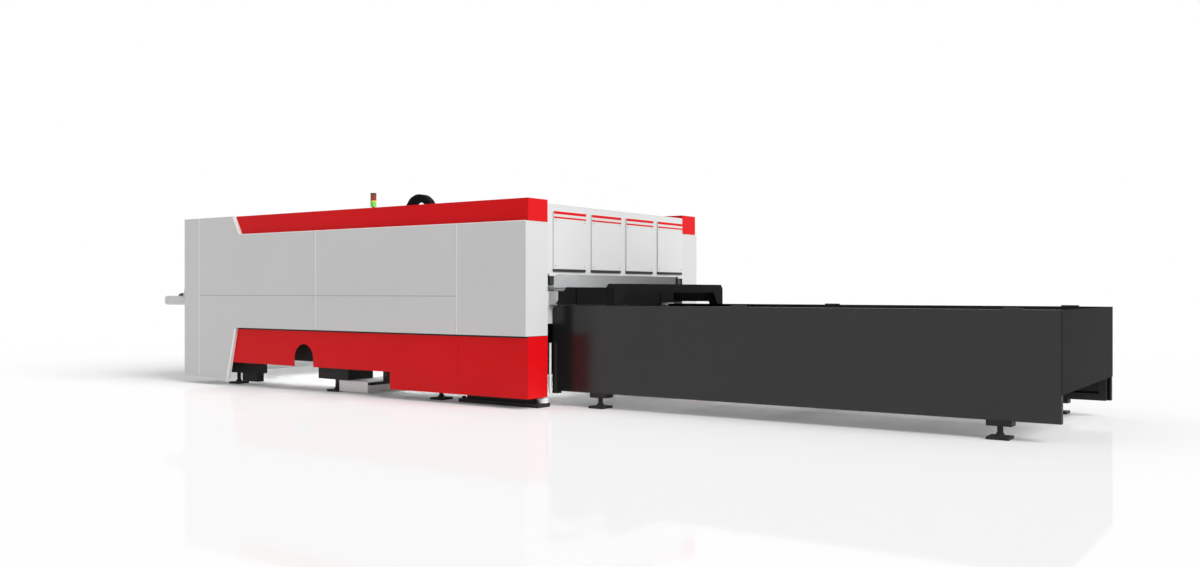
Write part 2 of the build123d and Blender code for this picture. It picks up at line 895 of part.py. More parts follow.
def table_feet():
    feet = []
    for place in foot_places:
        x = rear + place
        stand = foot(x, -foot_y, bracket_bottom)
        hole = Cylinder(anchor_radius, pad_thick + 2 * overrun)
        corner = pad_size / 2 - anchor_inset
        feet += both_sides(stand - Pos(x + corner, -foot_y - corner, pad_thick / 2) * hole)
    return group(feet)


def rail_stops():
    stops = []
    for place in stop_places:
        x = (rear + place - stop_length / 2, rear + place + stop_length / 2)
        y = (-table_side + table_sheet, -table_side + table_sheet + stop_width)
        stop = block(x, y, (table_top, table_top + stop_height))
        top_ends = stop.edges().filter_by(Axis.Y).group_by(Axis.Z)[-1]
        stops += both_sides(chamfer(top_ends, stop_height / 2))
    return group(stops)


def drive_unit():
    x = (frame_x[0] + frame_x[1]) / 2
    low = table_bottom + table_tube
    reach = (-drive_radius, drive_radius)
    gearbox = block((x - drive_radius, x + drive_radius), reach, (low, low + 2 * drive_radius))
    motor = Cylinder(drive_radius, drive_length, rotation=(0, 90, 0))
    return gearbox + Pos(x + drive_radius + drive_length / 2, 0, low + drive_radius) * motor


save("table_frame", table_frame())
save("table_rails", table_rails())
save_pair("table_sides", table_side_panel())
save("table_end_plate", table_end_plate())
save("bridge_portal", bridge_portal())
save("light_baffle", light_baffle())
save("table_feet", table_feet())
save("rail_stops", rail_stops())
save("drive_unit", drive_unit())


# Front wall with a parting pair of door leaves
door_half = door_opening_width / 2
door_z = (door_opening_bottom - door_lap, door_opening_top + door_lap)
door_x = (front - running_gap - door_thick, front - running_gap)


def front_wall():
    face = outline([
        (-wing_inner, column_bottom),
        (wing_inner, column_bottom),
        (wing_inner, frame_top),
        (-wing_inner, frame_top),
    ])
    wall = extrude(end_plane(front) * face, sheet)
    edge = extrude(end_plane(front) * face, front_depth)
    wall += edge - extrude(end_plane(front) * offset(face, -sheet, kind=Kind.INTERSECTION), front_depth)
    opening_y = (door_middle - door_half, door_middle + door_half)
    opening_z = (door_opening_bottom, door_opening_top)
    wall -= block((front - overrun, front + sheet + overrun), opening_y, opening_z)
    # top and bottom tracks, each a lipped channel that holds the leaves' edges
    reach = door_half + door_travel + door_lap
    track_y = (door_middle - reach, min(door_middle + reach, side - sheet))
    lip_x = door_x[0] - running_gap - track_lip
    tracks = ((door_z[0], door_z[0] - track_height, 1), (door_z[1], door_z[1] + track_height, -1))
    for inner, outer, way in tracks:
        low, high = sorted((inner - way * running_gap, outer))
        wall += block((lip_x, front), track_y, (low, high))
        low, high = sorted((inner - way * running_gap, inner + way * track_lip))
        wall += block((lip_x, lip_x + track_lip), track_y, (low, high))
    return wall


def door_leaf_edges(way):
    meeting = door_middle + way * door_meeting_gap / 2
    return sorted((meeting, door_middle + way * (door_half + door_lap)))


def door_leaf(way):
    y = door_leaf_edges(way)
    leaf = block(door_x, y, door_z)
    glass_y = (y[0] + window_margin, y[1] - window_margin)
    glass_z = (door_z[0] + window_margin, door_z[1] - window_margin)
    return leaf - block((door_x[0] - overrun, door_x[1] + overrun), glass_y, glass_z)


def door_window(way):
    y = door_leaf_edges(way)
    middle = (door_x[0] + door_x[1]) / 2
    return block(
        (middle - window_thick / 2, middle + window_thick / 2),
        (y[0] + window_margin, y[1] - window_margin),
        (door_z[0] + window_margin, door_z[1] - window_margin),
    )


def door_handle(way):
    y = door_middle + way * (door_meeting_gap / 2 + window_margin / 2)
    z = (door_z[0] + door_z[1]) / 2
    bar = Pos(door_x[0] - handle_stand, y, z) * Cylinder(handle_radius, handle_length)
    for end in (-1, 1):
        leg = Cylinder(handle_radius, handle_stand, rotation=(0, 90, 0))
        bar += Pos(door_x[0] - handle_stand / 2, y, z + end * (handle_length / 2 - handle_radius)) * leg
    return bar


save("front_wall", front_wall())
for name, way in (("near", -1), ("far", 1)):
    save(f"{name}_door_leaf", door_leaf(way))
    save(f"{name}_door_window", door_window(way))
    save(f"{name}_door_handle", door_handle(way))


# Console at the front corner: tray, sloping panel with push buttons, monitor, keyboard and mouse
tray_y = (-side + tray_outer_inset, -side + tray_outer_inset + tray_width)
tray_middle = (tray_y[0] + tray_y[1]) / 2
panel_top = tray_top + panel_height
panel_face = Plane(
    origin=(front - (panel_foot + panel_head) / 2, tray_middle, (tray_top + panel_top) / 2),
    x_dir=(0, -1, 0),
    z_dir=(-panel_height, 0, panel_foot - panel_head),
)


def console_tray():
    tray = block((front - console_reach, front), tray_y, (tray_bottom, tray_top))
    corners = tray.edges().filter_by(Axis.Z).group_by(Axis.X)[0]
    tray = fillet(corners, tray_round)
    level = tray.edges().filter_by(Axis.Z, reverse=True)
    rims = [edge for edge in level if edge.center().X < front - tray_edge]
    return fillet(rims, tray_edge)


def button_place(index):
    return panel_face * Pos((index - 1) * button_spacing, 0, 0)


def control_panel():
    profile = outline([
        (front, tray_top),
        (front - panel_foot, tray_top),
        (front - panel_head, panel_top),
        (front, panel_top),
    ])
    panel = extrude(side_plane(tray_y[1]) * profile, tray_width)
    for index in range(3):
        panel -= button_place(index) * Cylinder(button_radius + button_gap, 2 * button_length)
    return panel


def push_button(index):
    shank_top, shank_end = button_travel, -button_length / 2
    middle = (shank_top + shank_end) / 2
    shank = Pos(0, 0, middle) * Cylinder(button_radius, shank_top - shank_end)
    head = Pos(0, 0, shank_top + button_head / 2) * Cylinder(button_head_radius, button_head)
    rim = head.edges().filter_by(GeomType.CIRCLE).sort_by(Axis.Z)[-1]
    return button_place(index) * (shank + fillet(rim, button_head / 3))


def monitor():
    z = (panel_top + monitor_lift, panel_top + monitor_lift + monitor_height)
    y = (tray_y[1] - monitor_width, tray_y[1])
    housing = block((front - monitor_depth, front), y, z)
    bezel_y = (y[0] + monitor_bezel, y[1] - monitor_bezel)
    bezel_z = (z[0] + monitor_bezel, z[1] - monitor_bezel)
    screen_x = (front - monitor_depth, front - monitor_depth + screen_thick)
    housing -= block((screen_x[0] - overrun, screen_x[1]), bezel_y, bezel_z)
    screen = block(screen_x, bezel_y, bezel_z)
    return housing, screen


def keyboard():
    x = (front - panel_foot - keyboard_length * 2, front - panel_foot - keyboard_length)
    y = (tray_y[1] - keyboard_width - tray_edge, tray_y[1] - tray_edge)
    board = block(x, y, (tray_top, tray_top + keyboard_height))
    return chamfer(board.edges().filter_by(Axis.Y).group_by(Axis.Z)[-1], keyboard_height / 3)


def mouse():
    x = front - panel_foot - mouse_length
    y = tray_y[0] + mouse_width
    dome = Pos(x, y, tray_top) * scale(Sphere(1), (mouse_length / 2, mouse_width / 2, mouse_height))
    keep_y = (y - mouse_width, y + mouse_width)
    keep_z = (tray_top, tray_top + mouse_height + overrun)
    keep = block((x - mouse_length, x + mouse_length), keep_y, keep_z)
    return dome & keep


save("console_tray", console_tray())
save("control_panel", control_panel())
for index, name in enumerate(("stop_button", "start_button", "hold_button")):
    save(name, push_button(index))
housing, screen = monitor()
save("monitor_housing", housing)
save("monitor_screen", screen)
save("keyboard", keyboard())
save("mouse", mouse())


# Signal lamp and the arched cable chain on the roof
def lamp_pieces():
    x, y = rear - lamp_place, -side + lamp_inset
    z = roof_top + lamp_foot_height
    base = Pos(x, y, roof_top + lamp_foot_height / 2) * Cylinder(lamp_foot_radius, lamp_foot_height)
    base += Pos(x, y, z + lamp_pole_height / 2) * Cylinder(lamp_pole_radius, lamp_pole_height)
    z += lamp_pole_height
    pieces = [base]
    for height in lens_heights:
        pieces.append(Pos(x, y, z + height / 2) * Cylinder(lamp_radius, height))
        z += height
    cap = Pos(x, y, z + lamp_cap_height / 2) * Cylinder(lamp_radius, lamp_cap_height)
    rim = cap.edges().filter_by(GeomType.CIRCLE).sort_by(Axis.Z)[-1]
    return pieces + [fillet(rim, lamp_cap_height / 3)]


def cable_chain():
    x, y, z = rear - chain_place, -side + chain_inset, roof_top + chain_rise
    chain = None
    turn = 180.0 / chain_links
    for number in range(chain_links):
        depth = chain_depth - chain_link_step * (number % 2)
        section = Plane.XZ * Pos(chain_outer - chain_band / 2, 0, 0) * Rectangle(chain_band, depth)
        link = revolve(section, Axis.Z, turn)
        link = Rotation(0, 0, number * turn) * link
        chain = link if chain is None else chain + link
    chain = Pos(x, y, z) * Rotation(90, 0, 0) * chain
    for way in (-1, 1):
        middle = x + way * (chain_outer - chain_band / 2)
        ends = (middle - chain_band / 2, middle + chain_band / 2)
        chain += block(ends, (y - chain_depth / 2, y + chain_depth / 2), (roof_top, z))
    return chain


lamp_base, *lenses, lamp_cap = lamp_pieces()
save("lamp_housing", group([lamp_base, lamp_cap]))
for name, piece in zip(("lamp_green", "lamp_amber", "lamp_red"), lenses):
    save(name, piece)
save("cable_chain", cable_chain())
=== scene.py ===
import json
import math

import bpy
import numpy as np
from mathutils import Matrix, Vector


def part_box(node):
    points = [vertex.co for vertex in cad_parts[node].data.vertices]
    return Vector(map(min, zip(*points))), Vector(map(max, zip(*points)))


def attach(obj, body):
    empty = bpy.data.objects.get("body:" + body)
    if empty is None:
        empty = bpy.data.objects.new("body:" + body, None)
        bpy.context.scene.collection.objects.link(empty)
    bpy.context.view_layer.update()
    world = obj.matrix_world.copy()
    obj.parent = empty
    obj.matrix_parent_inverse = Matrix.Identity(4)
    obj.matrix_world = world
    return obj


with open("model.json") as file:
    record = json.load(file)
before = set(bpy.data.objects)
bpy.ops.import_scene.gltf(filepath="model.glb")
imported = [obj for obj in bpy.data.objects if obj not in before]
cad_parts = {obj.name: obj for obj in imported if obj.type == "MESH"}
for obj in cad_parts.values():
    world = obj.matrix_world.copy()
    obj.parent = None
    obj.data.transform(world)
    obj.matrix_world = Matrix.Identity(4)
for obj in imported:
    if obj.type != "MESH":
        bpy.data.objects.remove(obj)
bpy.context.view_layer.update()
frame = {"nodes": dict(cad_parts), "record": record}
nodes = frame["nodes"]
print("frame loaded:", len(nodes), "CAD nodes")

# helpers for node trees


def wire(tree, source, target):
    # a link from an output socket, or a plain value on the socket itself
    if isinstance(source, bpy.types.NodeSocket):
        tree.links.new(source, target)
    else:
        target.default_value = source


def addNode(tree, kind, settings=None, **inputs):
    node = tree.nodes.new(kind)
    for key, value in (settings or {}).items():
        setattr(node, key, value)
    for key, value in inputs.items():
        wire(tree, value, node.inputs[key.replace("_", " ")])
    return node


def newGroup(name, inputs, outputs):
    group = bpy.data.node_groups.new(name, "ShaderNodeTree")
    for label, kind, value in inputs:
        group.interface.new_socket(label, in_out="INPUT", socket_type=kind).default_value = value
    for label in outputs:
        group.interface.new_socket(label, in_out="OUTPUT", socket_type="NodeSocketFloat")
    return group, group.nodes.new("NodeGroupInput"), group.nodes.new("NodeGroupOutput")


def useGroup(tree, group, **inputs):
    return addNode(tree, "ShaderNodeGroup", {"node_tree": group}, **inputs)


def mathNode(tree, operation, first, second=None, clamp=False):
    node = addNode(tree, "ShaderNodeMath", {"operation": operation, "use_clamp": clamp})
    wire(tree, first, node.inputs[0])
    if second is not None:
        wire(tree, second, node.inputs[1])
    return node.outputs[0]


def mixColour(tree, factor, first, second):
    # the node's colour sockets are A 6, B 7 and result 2
    node = addNode(tree, "ShaderNodeMix", {"data_type": "RGBA"})
    wire(tree, factor, node.inputs[0])
    for slot, colour in ((6, first), (7, second)):
        wire(tree, (*colour, 1) if isinstance(colour, tuple) else colour, node.inputs[slot])
    return node.outputs[2]


def remap(tree, value, low, high, toLow, toHigh):
    node = addNode(tree, "ShaderNodeMapRange", {"clamp": True})
    for slot, source in enumerate((value, low, high, toLow, toHigh)):
        wire(tree, source, node.inputs[slot])
    return node.outputs[0]


def facingAxes(tree):
    # the face's own direction, split into X, Y and Z
    surface = addNode(tree, "ShaderNodeNewGeometry")
    return addNode(tree, "ShaderNodeSeparateXYZ", Vector=surface.outputs["True Normal"])


def seenRays(tree):
    # 1 for rays from the camera, off shiny faces or through glass, otherwise 0
    paths = addNode(tree, "ShaderNodeLightPath")
    seen = mathNode(tree, "MAXIMUM", paths.outputs["Is Camera Ray"], paths.outputs["Is Glossy Ray"])
    return mathNode(tree, "MAXIMUM", seen, paths.outputs["Is Transmission Ray"])


# helpers for meshes: a shape is its points, quads and triangles


def gridOf(x, y, z):
    # three arrays, broadcast together, as points
    return np.stack(np.broadcast_arrays(x, y, z), -1)


def roundAngles(count):
    return np.linspace(0, 2 * np.pi, count, endpoint=False)


def evenly(count, pitch):
    # places of a row that is centred on zero
    return (np.arange(count) - (count - 1) / 2) * pitch


def gridQuads(nu, nv, wrapU, wrapV):
    u, v = np.meshgrid(np.arange(nu - (not wrapU)), np.arange(nv - (not wrapV)), indexing="ij")
    un, vn = (u + 1) % nu, (v + 1) % nv
    return np.stack([u * nv + v, un * nv + v, un * nv + vn, u * nv + vn], -1).reshape(-1, 4)


def meshFromGrid(name, points, wrapU=False, wrapV=False):
    # quads between neighbours of a (u, v) grid of points, joined round where it wraps
    return meshFromParts(name, points.reshape(-1, 3), gridQuads(*points.shape[:2], wrapU, wrapV))


def meshFromParts(name, points, quads, tris=None):
    # quads, then triangles, straight into a mesh
    tris = np.zeros((0, 3), int) if tris is None else tris
    corners = np.concatenate([quads.ravel(), tris.ravel()]).astype(np.int32)
    sizes = np.repeat([4, 3], [len(quads), len(tris)])
    mesh = bpy.data.meshes.new(name)
    mesh.vertices.add(len(points))
    mesh.vertices.foreach_set("co", np.asarray(points, np.float32).ravel())
    mesh.loops.add(len(corners))
    mesh.loops.foreach_set("vertex_index", corners)
    mesh.polygons.add(len(sizes))
    mesh.polygons.foreach_set("loop_start", (np.cumsum(sizes) - sizes).astype(np.int32))
    mesh.update(calc_edges=True)
    mesh.validate()
    piece = bpy.data.objects.new(name, mesh)
    bpy.context.scene.collection.objects.link(piece)
    return piece


def ringStack(rings):
    # closed rings (n, m, 3) one after the other: quads between them, a fan over each end
    n, m = rings.shape[:2]
    points = np.concatenate([rings.reshape(-1, 3), rings[:1].mean(1), rings[-1:].mean(1)])
    around = np.arange(m)
    nextOne = (around + 1) % m
    last = (n - 1) * m
    first = np.stack([nextOne, around, np.full(m, n * m)], -1)
    end = np.stack([last + around, last + nextOne, np.full(m, n * m + 1)], -1)
    quads = gridQuads(n, m, False, True)[:, ::-1]
    return points, quads, np.concatenate([first, end])


def copies(shape, offsets):
    # the same small shape at every offset
    points, quads, tris = shape
    offsets = np.asarray(offsets, float).reshape(-1, 3)
    step = (np.arange(len(offsets)) * len(points))[:, None, None]
    placed = (points[None] + offsets[:, None]).reshape(-1, 3)
    return placed, (quads[None] + step).reshape(-1, 4), (tris[None] + step).reshape(-1, 3)


def joined(shapes):
    # several shapes as one: the faces of each count on from the points before it
    starts = np.cumsum([0] + [len(shape[0]) for shape in shapes[:-1]])
    quads = [shape[1] + start for shape, start in zip(shapes, starts)]
    tris = [shape[2] + start for shape, start in zip(shapes, starts)]
    return np.concatenate([shape[0] for shape in shapes]), np.concatenate(quads), np.concatenate(tris)


def turned(shape, axis):
    # a shape built along Z, left so or laid along X, Y or -Y
    points, quads, tris = shape
    x, y, z = points.T
    laid = {"z": (x, y, z), "x": (z, x, y), "y": (y, z, x), "-y": (-y, -z, x)}[axis]
    return np.stack(laid, -1), quads, tris


def superRing(halfA, halfB, power, count):
    # superellipse |a / halfA|^p + |b / halfB|^p = 1 by angle
    t = roundAngles(count)
    c, w = np.cos(t), np.sin(t)
    return halfA * np.sign(c) * np.abs(c) ** (2 / power), halfB * np.sign(w) * np.abs(w) ** (2 / power)


def roundedBar(length, halfA, halfB, power=6, count=24, ease=0.004):
    # bar along Z with that section; the end rings shrink so that its ends are eased
    a, b = superRing(halfA, halfB, power, count)
    shoulder = ease * 0.3
    z = np.array([0, shoulder, ease, length - ease, length - shoulder, length])[:, None]
    inset = np.array([ease, shoulder, 0, 0, shoulder, ease])[:, None]
    return ringStack(gridOf((1 - inset / halfA) * a, (1 - inset / halfB) * b, z))


def platePiece(low, high, ease=0.003):
    # box whose edges are eased: superellipse sections of high power along its shortest side
    low, high = np.array(low), np.array(high)
    size = high - low
    axis = int(size.argmin())
    thick, halfA, halfB = size[axis], size[(axis + 1) % 3] / 2, size[(axis + 2) % 3] / 2
    bar = roundedBar(thick, halfA, halfB, power=60, count=64, ease=min(ease, thick / 3))
    points, quads, tris = turned(bar, "xyz"[axis])
    base = (low + high) / 2
    base[axis] = low[axis]
    return points + base, quads, tris


def sidePlate(way, x, y, z, ease=0.003):
    # plate between two values each of X, Y and Z, with Y on the near (-1) or far (1) side
    y = sorted((way * y[0], way * y[1]))
    return platePiece((x[0], y[0], z[0]), (x[1], y[1], z[1]), ease)


def hexBolt(across, height, washer):
    # round washer face, then a six-sided head with its top corners turned off, as radii up the Z axis
    t = roundAngles(24)
    hexEdge = (across / 2) / np.cos((t % (np.pi / 3)) - np.pi / 6)
    disc = np.full_like(t, washer)
    radii = np.stack([disc, disc, hexEdge, hexEdge, np.minimum(hexEdge, across / 2)])
    z = height * np.array([0, 0.15, 0.15, 0.85, 1])[:, None]
    return ringStack(gridOf(radii * np.cos(t), radii * np.sin(t), z))


def panScrew(radius, height, count=16):
    # low dome: r = R cos t, z = h sin t, with a flat top where t ends
    t = np.linspace(0, 1.15, 5)[:, None]
    a = roundAngles(count)
    r = radius * np.cos(t)
    return ringStack(gridOf(r * np.cos(a), r * np.sin(a), height * np.sin(t)))


def lathe(profile, count):
    # turned part: radius and height pairs spun about Z
    radius, height = np.array(profile).T[:, :, None]
    a = roundAngles(count)
    return ringStack(gridOf(radius * np.cos(a), radius * np.sin(a), height))


def addPiece(name, shape, look, body, smooth=None):
    dress(meshFromParts(name, *shape), look, body, smooth)


def dress(piece, look, body, smooth=None):
    piece.data.materials.append(look)
    if smooth is not None:
        piece.data.polygons.foreach_set("use_smooth", np.ones(len(piece.data.polygons), bool))
        piece.data.set_sharp_from_angle(angle=math.radians(smooth))
    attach(piece, body)


# camera: level, at chest height off the table's near corner
cameraView = {"place": (6.8605, -9.300, 1.114), "turn": 34.92, "sensor": 36, "lens": 31.58, "shift": 0.0068,
              "clipEnd": 400}
camera = bpy.data.objects.new("camera", bpy.data.cameras.new("camera"))
bpy.context.scene.collection.objects.link(camera)
camera.location = cameraView["place"]
camera.rotation_euler = (math.radians(90), 0, math.radians(cameraView["turn"]))
camera.data.sensor_width = cameraView["sensor"]
camera.data.lens = cameraView["lens"]
camera.data.shift_y = cameraView["shift"]
camera.data.clip_end = cameraView["clipEnd"]
bpy.context.scene.camera = camera
bpy.context.scene.view_settings.view_transform = "Standard"
print("camera set")

# studio: white surround, pale floor with a soft sheen, key light from the table end
studio = {"ambient": 0.42, "key": 2.72, "keyFrom": (0.80, -0.08, 0.60), "keySpread": 40}
floorPlan = {"reach": (2, 120), "rings": 12, "spokes": 64, "level": -0.001, "tone": 0.955, "sheen": 0.10,
             "sheenRoughness": 0.05, "lift": 0.10, "fade": (7.5, 15.0), "squash": (0.8, 1, 0)}


def makeWorld():
    # full white where it is seen, weaker where it only lights the scene
    world = bpy.data.worlds.new("studio")
    bpy.context.scene.world = world
    world.use_nodes = True
    tree = world.node_tree
    tree.nodes.clear()
    strength = remap(tree, seenRays(tree), 0, 1, studio["ambient"], 1.0)
    glow = addNode(tree, "ShaderNodeBackground", Color=(1, 1, 1, 1), Strength=strength)
    addNode(tree, "ShaderNodeOutputWorld", Surface=glow.outputs[0])


def floorLook():
    # matt sheet with a weak sheen, lifted a little and faded to white far out
    look = bpy.data.materials.new("studioFloor")
    look.use_nodes = True
    tree = look.node_tree
    tree.nodes.clear()
    tone, sheen = floorPlan["tone"], floorPlan["sheen"]
    coords = addNode(tree, "ShaderNodeTexCoord")
    flat = addNode(tree, "ShaderNodeVectorMath", {"operation": "MULTIPLY"}, Vector=coords.outputs["Object"])
    wire(tree, floorPlan["squash"], flat.inputs[1])
    reach = addNode(tree, "ShaderNodeVectorMath", {"operation": "LENGTH"}, Vector=flat.outputs[0])
    far = remap(tree, reach.outputs["Value"], *floorPlan["fade"], 0, 1)
    lifted = remap(tree, far, 0, 1, floorPlan["lift"], 1)
    matt = addNode(tree, "ShaderNodeBsdfDiffuse", Color=(tone, tone, tone, 1))
    shine = addNode(tree, "ShaderNodeBsdfGlossy", Color=(sheen, sheen, sheen, 1),
                    Roughness=floorPlan["sheenRoughness"])
    pale = addNode(tree, "ShaderNodeEmission", Color=(1, 1, 1, 1), Strength=1.0)
    sheet = addNode(tree, "ShaderNodeAddShader")
    wire(tree, matt.outputs[0], sheet.inputs[0])
    wire(tree, shine.outputs[0], sheet.inputs[1])
    fade = addNode(tree, "ShaderNodeMixShader")
    wire(tree, mathNode(tree, "MULTIPLY", lifted, seenRays(tree)), fade.inputs[0])
    wire(tree, sheet.outputs[0], fade.inputs[1])
    wire(tree, pale.outputs[0], fade.inputs[2])
    addNode(tree, "ShaderNodeOutputMaterial", Surface=fade.outputs[0])
    return look


def makeFloor():
    # flat ring grid: x = r cos a, y = r sin a, r growing outwards
    radius = np.append(0.0, np.geomspace(*floorPlan["reach"], floorPlan["rings"]))[:, None]
    a = roundAngles(floorPlan["spokes"])
    points = gridOf(radius * np.cos(a), radius * np.sin(a), floorPlan["level"])
    floor = meshFromGrid("floor", points, wrapV=True)
    floor.data.materials.append(floorLook())


def makeKey():
    lamp = bpy.data.lights.new("key", "SUN")
    lamp.energy = studio["key"]
    lamp.angle = math.radians(studio["keySpread"])
    key = bpy.data.objects.new("key", lamp)
    bpy.context.scene.collection.objects.link(key)
    x, y, z = studio["keyFrom"]
    key.rotation_euler = (math.acos(z / math.hypot(x, y, z)), 0, math.atan2(y, x) + math.pi / 2)


makeWorld()
makeFloor()
makeKey()
print("studio set")

# shared surface effects
noiseSpan = (0.3, 0.7)  # where most values of a noise lie
dustPlan = {"height": 0.45, "tilt": 0.4, "scale": 5.0, "span": (0.32, 0.68), "least": 0.15}


def makePeelGroup():
    # orange peel of sprayed paint: fine noise for the bump, broad noise for slight tone changes
    inputs = [("Scale", "NodeSocketFloat", 350.0), ("Broad Scale", "NodeSocketFloat", 1.3)]
    group, into, out = newGroup("coatPeel", inputs, ["Height", "Tone"])
    place = addNode(group, "ShaderNodeTexCoord").outputs["Object"]
    fine = addNode(group, "ShaderNodeTexNoise", Vector=place, Scale=into.outputs["Scale"], Detail=2.0)
    broad = addNode(group, "ShaderNodeTexNoise", Vector=place, Scale=into.outputs["Broad Scale"], Detail=3.0)
    wire(group, fine.outputs[0], out.inputs["Height"])
    wire(group, remap(group, broad.outputs[0], *noiseSpan, 0, 1), out.inputs["Tone"])
    return group


def makeDustGroup():
    # workshop dust: thickest near the floor and on faces that look up, broken by noise
    inputs = [("Low", "NodeSocketFloat", 0.35), ("Upward", "NodeSocketFloat", 0.5)]
    group, into, out = newGroup("shopDust", inputs, ["Mask"])
    place = addNode(group, "ShaderNodeTexCoord").outputs["Object"]
    height = addNode(group, "ShaderNodeSeparateXYZ", Vector=place).outputs["Z"]
    nearFloor = remap(group, height, 0.0, dustPlan["height"], 1, 0)
    lookingUp = remap(group, facingAxes(group).outputs["Z"], dustPlan["tilt"], 1.0, 0, 1)
    low = mathNode(group, "MULTIPLY", nearFloor, into.outputs["Low"])
    top = mathNode(group, "MULTIPLY", lookingUp, into.outputs["Upward"])
    cloud = addNode(group, "ShaderNodeTexNoise", Vector=place, Scale=dustPlan["scale"], Detail=5.0,
                    Roughness=0.6)
    broken = remap(group, cloud.outputs[0], *dustPlan["span"], dustPlan["least"], 1)
    settled = mathNode(group, "ADD", low, top, clamp=True)
    wire(group, mathNode(group, "MULTIPLY", settled, broken), out.inputs["Mask"])
    return group


def makeScuffGroup():
    # hairline scuffs: noise drawn out along one direction and cut to thin lines
    inputs = [("Stretch", "NodeSocketVector", (2.0, 2.0, 90.0)), ("Cut", "NodeSocketFloat", 0.66)]
    group, into, out = newGroup("scuffs", inputs, ["Mask"])
    place = addNode(group, "ShaderNodeTexCoord").outputs["Object"]
    drawn = addNode(group, "ShaderNodeVectorMath", {"operation": "MULTIPLY"}, Vector=place)
    wire(group, into.outputs["Stretch"], drawn.inputs[1])
    lines = addNode(group, "ShaderNodeTexNoise", Vector=drawn.outputs[0], Scale=1.0, Detail=4.0, Roughness=0.7)
    over = mathNode(group, "SUBTRACT", lines.outputs[0], into.outputs["Cut"])
    sharpness = 8.0
    wire(group, mathNode(group, "MULTIPLY", over, sharpness, clamp=True), out.inputs["Mask"])
    return group


peelGroup = makePeelGroup()
dustGroup = makeDustGroup()
scuffGroup = makeScuffGroup()

# finishes
paintPlan = {"dustRough": 0.3, "scuffRough": 0.06, "peelDepth": 0.0006}
metalPlan = {"cut": 0.42, "low": 0.1, "upward": 0.12, "dust": (0.16, 0.15, 0.14), "spread": 0.16,
             "bump": 0.15, "depth": 0.0004}
plasticPlan = {"broad": 6.0, "rough": (-0.06, 0.08), "depth": 0.0004}


def newLook(name):
    look = bpy.data.materials.new(name)
    look.use_nodes = True
    tree = look.node_tree
    return look, tree, tree.nodes["Principled BSDF"]


def bumpFrom(tree, height, shader, strength, distance):
    bump = addNode(tree, "ShaderNodeBump", Strength=strength, Distance=distance, Height=height)
    wire(tree, bump.outputs[0], shader.inputs["Normal"])


def grey(tone):
    return tone, tone, tone


def paintLook(name, colour, shade, dust, roughness, low, upward,
              peel=0.10, gloss=0.25, spread=0.06, endMatt=0.0):
    # sprayed or powder-coated sheet: slight tone drift, settled dust and orange peel
    look, tree, shader = newLook(name)
    coat = useGroup(tree, peelGroup)
    dirt = useGroup(tree, dustGroup, Low=low, Upward=upward).outputs["Mask"]
    scuff = useGroup(tree, scuffGroup).outputs["Mask"]
    tinted = mixColour(tree, coat.outputs["Tone"], colour, shade)
    wire(tree, mixColour(tree, dirt, tinted, dust), shader.inputs["Base Color"])
    rough = remap(tree, coat.outputs["Tone"], 0, 1, roughness - spread / 2, roughness + spread / 2)
    worn = mathNode(tree, "ADD", rough, mathNode(tree, "MULTIPLY", dirt, paintPlan["dustRough"]))
    scuffed = mathNode(tree, "MULTIPLY", scuff, paintPlan["scuffRough"])
    worn = mathNode(tree, "ADD", worn, scuffed, clamp=True)
    if endMatt:
        # cut ends, which face along the machine, are duller than the faces
        along = mathNode(tree, "ABSOLUTE", facingAxes(tree).outputs["X"])
        worn = mathNode(tree, "ADD", worn, mathNode(tree, "MULTIPLY", along, endMatt), clamp=True)
    wire(tree, worn, shader.inputs["Roughness"])
    shader.inputs["Specular IOR Level"].default_value = gloss
    bumpFrom(tree, coat.outputs["Height"], shader, peel, paintPlan["peelDepth"])
    return look


def metalLook(name, colour, shade, roughness, stretch, metallic=1.0):
    # machined or rolled metal: drawn-out grain in colour, roughness and bump
    look, tree, shader = newLook(name)
    grain = useGroup(tree, scuffGroup, Stretch=stretch, Cut=metalPlan["cut"]).outputs["Mask"]
    dirt = useGroup(tree, dustGroup, Low=metalPlan["low"], Upward=metalPlan["upward"]).outputs["Mask"]
    ground = mixColour(tree, grain, colour, shade)
    wire(tree, mixColour(tree, dirt, ground, metalPlan["dust"]), shader.inputs["Base Color"])
    rough = remap(tree, grain, 0, 1, roughness, roughness + metalPlan["spread"])
    wire(tree, rough, shader.inputs["Roughness"])
    shader.inputs["Metallic"].default_value = metallic
    bumpFrom(tree, grain, shader, metalPlan["bump"], metalPlan["depth"])
    return look


def plasticLook(name, colour, shade, roughness, grain=900.0, bump=0.25):
    # moulded plastic: fine spark-eroded grain
    look, tree, shader = newLook(name)
    skin = useGroup(tree, peelGroup, Scale=grain, Broad_Scale=plasticPlan["broad"])
    wire(tree, mixColour(tree, skin.outputs["Tone"], colour, shade), shader.inputs["Base Color"])
    smoothest, roughest = (roughness + change for change in plasticPlan["rough"])
    rough = remap(tree, skin.outputs["Height"], *noiseSpan, smoothest, roughest)
    wire(tree, rough, shader.inputs["Roughness"])
    bumpFrom(tree, skin.outputs["Height"], shader, bump, plasticPlan["depth"])
    return look


def glowLook(name, colour, strength):
    # frosted light strip: slightly uneven glow along its length
    look, tree, shader = newLook(name)
    tone = useGroup(tree, peelGroup, Scale=60.0, Broad_Scale=4.0).outputs["Tone"]
    dimmer = tuple(part * 0.93 for part in colour)
    wire(tree, mixColour(tree, tone, colour, dimmer), shader.inputs["Emission Color"])
    wire(tree, mixColour(tree, tone, grey(0.8), grey(0.74)), shader.inputs["Base Color"])
    shader.inputs["Emission Strength"].default_value = strength
    shader.inputs["Roughness"].default_value = 0.4
    return look


